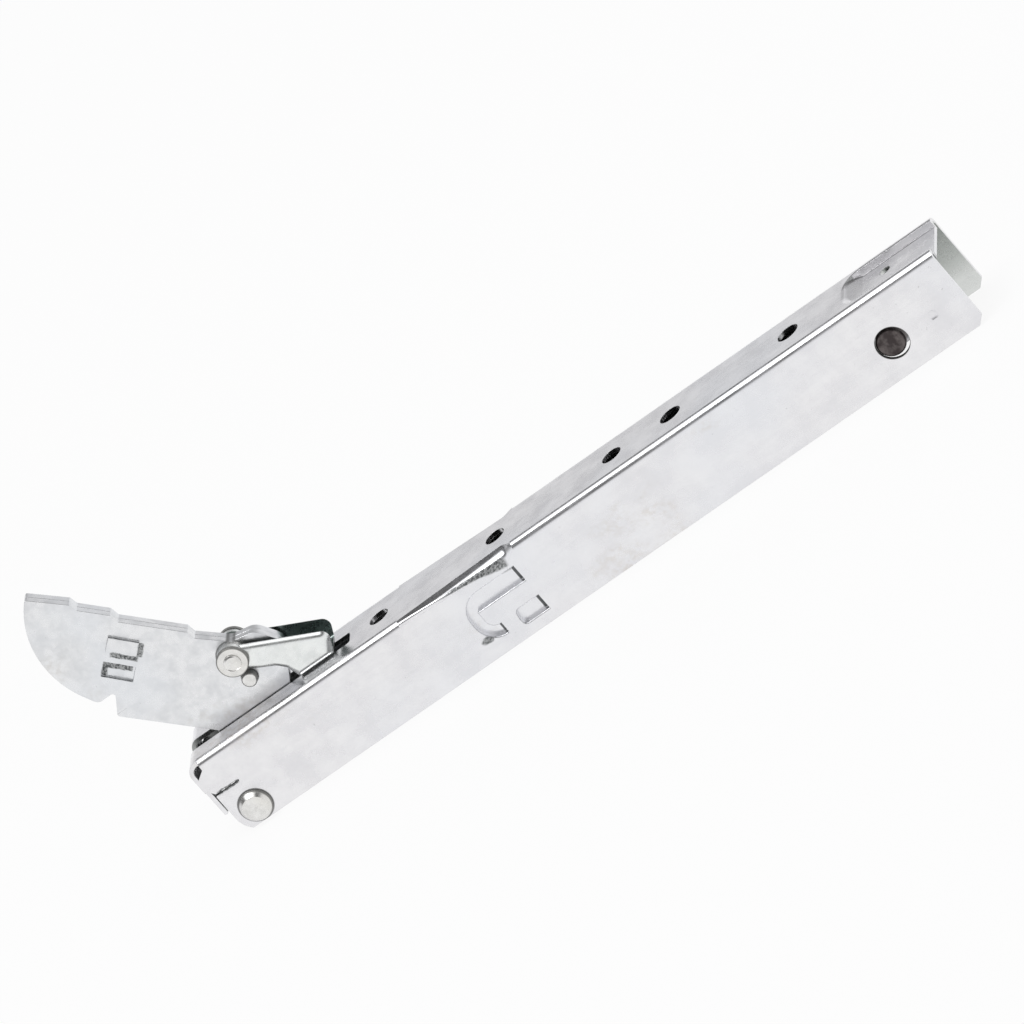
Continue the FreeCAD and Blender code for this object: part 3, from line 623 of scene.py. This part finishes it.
def wireTree():
    tree = bpy.data.node_groups.new("drawnWire", "GeometryNodeTree")
    face = tree.interface
    face.new_socket("Path", in_out="INPUT", socket_type="NodeSocketGeometry")
    face.new_socket("Wire radius", in_out="INPUT", socket_type="NodeSocketFloat")
    face.new_socket("Sides", in_out="INPUT", socket_type="NodeSocketInt")
    face.new_socket("Finish", in_out="INPUT", socket_type="NodeSocketMaterial")
    face.new_socket("Wire", in_out="OUTPUT", socket_type="NodeSocketGeometry")
    entry = tree.nodes.new("NodeGroupInput")
    leave = tree.nodes.new("NodeGroupOutput")
    section = tree.nodes.new("GeometryNodeCurvePrimitiveCircle")
    sweep = tree.nodes.new("GeometryNodeCurveToMesh")
    smooth = tree.nodes.new("GeometryNodeSetShadeSmooth")
    solid = tree.nodes.new("GeometryNodeRealizeInstances")
    paint = tree.nodes.new("GeometryNodeSetMaterial")
    sweep.inputs["Fill Caps"].default_value = True
    link = tree.links.new
    link(entry.outputs["Wire radius"], section.inputs["Radius"])
    link(entry.outputs["Sides"], section.inputs["Resolution"])
    link(entry.outputs["Path"], sweep.inputs["Curve"])
    link(section.outputs["Curve"], sweep.inputs["Profile Curve"])
    link(sweep.outputs["Mesh"], smooth.inputs["Geometry"])
    link(smooth.outputs["Geometry"], solid.inputs["Geometry"])
    link(solid.outputs["Geometry"], paint.inputs["Geometry"])
    link(entry.outputs["Finish"], paint.inputs["Material"])
    link(paint.outputs["Geometry"], leave.inputs["Wire"])
    return tree


def inputName(tree, name):
    for item in tree.interface.items_tree:
        if item.name == name and item.in_out == "INPUT":
            return item.identifier


def makeSpring(look):
    nearLow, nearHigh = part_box("hook_pin")
    farLow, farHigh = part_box("anchor_pin")
    near = (nearLow + nearHigh) / 2
    far = (farLow + farHigh) / 2
    axis = (far - near).normalized()
    across = Vector((0, 1, 0)).cross(axis)
    path, coilStart, coilEnd = springPath(look, (far - near).length / mm)
    curve = bpy.data.curves.new("springPath", "CURVE")
    curve.dimensions = "3D"
    curve.twist_mode = "MINIMUM"
    line = curve.splines.new("POLY")
    line.points.add(len(path) - 1)
    for point, place in zip(line.points, path):
        at = near + (across * place.x + Vector((0, 1, 0)) * place.y + axis * place.z) * mm
        point.co = (*at, 1)
    thing = bpy.data.objects.new("springPath", curve)
    scene.collection.objects.link(thing)
    tree = wireTree()
    modifier = thing.modifiers.new("drawnWire", "NODES")
    modifier.node_group = tree
    modifier[inputName(tree, "Wire radius")] = look["wire"] / 2 * mm
    modifier[inputName(tree, "Sides")] = look["sides"]
    modifier[inputName(tree, "Finish")] = finishes["spring_wire"]
    bpy.context.view_layer.update()
    mesh = bpy.data.meshes.new_from_object(thing.evaluated_get(bpy.context.evaluated_depsgraph_get()))
    bpy.data.objects.remove(thing)
    spring = bpy.data.objects.new("tension_spring_wire", mesh)
    scene.collection.objects.link(spring)
    near + axis * coilStart * mm
    near + axis * coilEnd * mm
    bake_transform(spring)
    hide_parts("tension_spring")
    return spring


spring = makeSpring(springLooks)
print("spring made:", len(spring.data.polygons), "faces")


# Stage: pale floor, a soft overhead light and a plain studio round it

stageLooks = {"floor": (0.93, 0.93, 0.93), "seen": 0.9, "floorSize": 12.0,
              "lampSize": (0.6, 0.36), "lampAt": (-0.25, -0.35, 1.3), "lampPower": 3.0,
              "heights": [(0.0, 0.96), (0.26, 0.96), (0.42, 0.6336), (0.56, 0.14), (0.81, 0.14), (0.89, 1.2),
                          (1.0, 2.4)]}


def makeStage(look):
    floorHeight = cadLow.z
    half = look["floorSize"] / 2
    mesh = bpy.data.meshes.new("floor")
    corners = [(-half, -half, floorHeight), (half, -half, floorHeight),
               (half, half, floorHeight), (-half, half, floorHeight)]
    mesh.from_pydata(corners, [], [(0, 1, 2, 3)])
    floor = bpy.data.objects.new("floor", mesh)
    scene.collection.objects.link(floor)

    # What the camera and the metal see of the floor is white paper with a faint shadow
    finish = Finish("floor_paper")
    finish.feed("Base Color", (*look["floor"], 1))
    finish.feed("Roughness", 0.9)
    finish.feed("Specular IOR Level", 0.0)
    seen = finish.most(finish.add("ShaderNodeLightPath", {}, {}, "Is Camera Ray"),
                       finish.add("ShaderNodeLightPath", {}, {}, "Is Glossy Ray"))
    paper = finish.add("ShaderNodeEmission", {}, {})
    lit = Wire(finish, finish.shader.outputs[0])
    blend = finish.add("ShaderNodeMixShader", {}, {0: seen * look["seen"], 1: lit, 2: paper})
    finish.fill(finish.tree.nodes["Material Output"], {"Surface": blend})
    mesh.materials.append(finish.material)

    lamp = bpy.data.lights.new("softbox", "AREA")
    lamp.shape = "RECTANGLE"
    lamp.size, lamp.size_y = look["lampSize"]
    lamp.energy = look["lampPower"]
    box = bpy.data.objects.new("softbox", lamp)
    box.location = look["lampAt"]
    box.rotation_euler = (-Vector(look["lampAt"])).to_track_quat("-Z", "Y").to_euler()
    scene.collection.objects.link(box)

    # The studio: its brightness by height, a little bluish
    world = bpy.data.worlds.new("studio")
    scene.world = world
    studio = Network(world)
    stops = [(position, (level, level, level * 1.01)) for position, level in look["heights"]]
    direction = studio.add("ShaderNodeTexCoord", {}, {}, "Generated")
    height = studio.add("ShaderNodeSeparateXYZ", {}, {0: direction}, "Z")
    shade = studio.add("ShaderNodeValToRGB", {"stops": stops}, {"Fac": height})
    studio.fill(studio.tree.nodes["Background"], {"Color": shade, "Strength": 1.0})


makeStage(stageLooks)


# Camera: far away and long, so that the view is near parallel, as in the photograph

cameraLooks = {"right": (0.7839, 0.0291, -0.6205), "up": (0.5448, 0.4476, 0.7093),
               "middle": (1.35, 20.67, -4.85), "width": 275.27, "distance": 4.0, "sensor": 36.0}


def makeCamera(look):
    right = Vector(look["right"]).normalized()
    up = Vector(look["up"])
    up = (up - right * up.dot(right)).normalized()
    back = right.cross(up)
    middle = Vector(look["middle"]) * mm
    middle += back * ((cadLow + cadHigh) / 2 - middle).dot(back)
    data = bpy.data.cameras.new("camera")
    data.sensor_width = look["sensor"]
    data.lens = look["sensor"] * look["distance"] / (look["width"] * mm)
    data.clip_start = 0.05
    data.clip_end = 100.0
    camera = bpy.data.objects.new("camera", data)
    turn = Matrix((right, up, back)).transposed().to_4x4()
    camera.matrix_world = Matrix.Translation(middle + back * look["distance"]) @ turn
    scene.collection.objects.link(camera)
    scene.camera = camera


makeCamera(cameraLooks)
scene.view_settings.view_transform = "Standard"
print("stage and camera set")
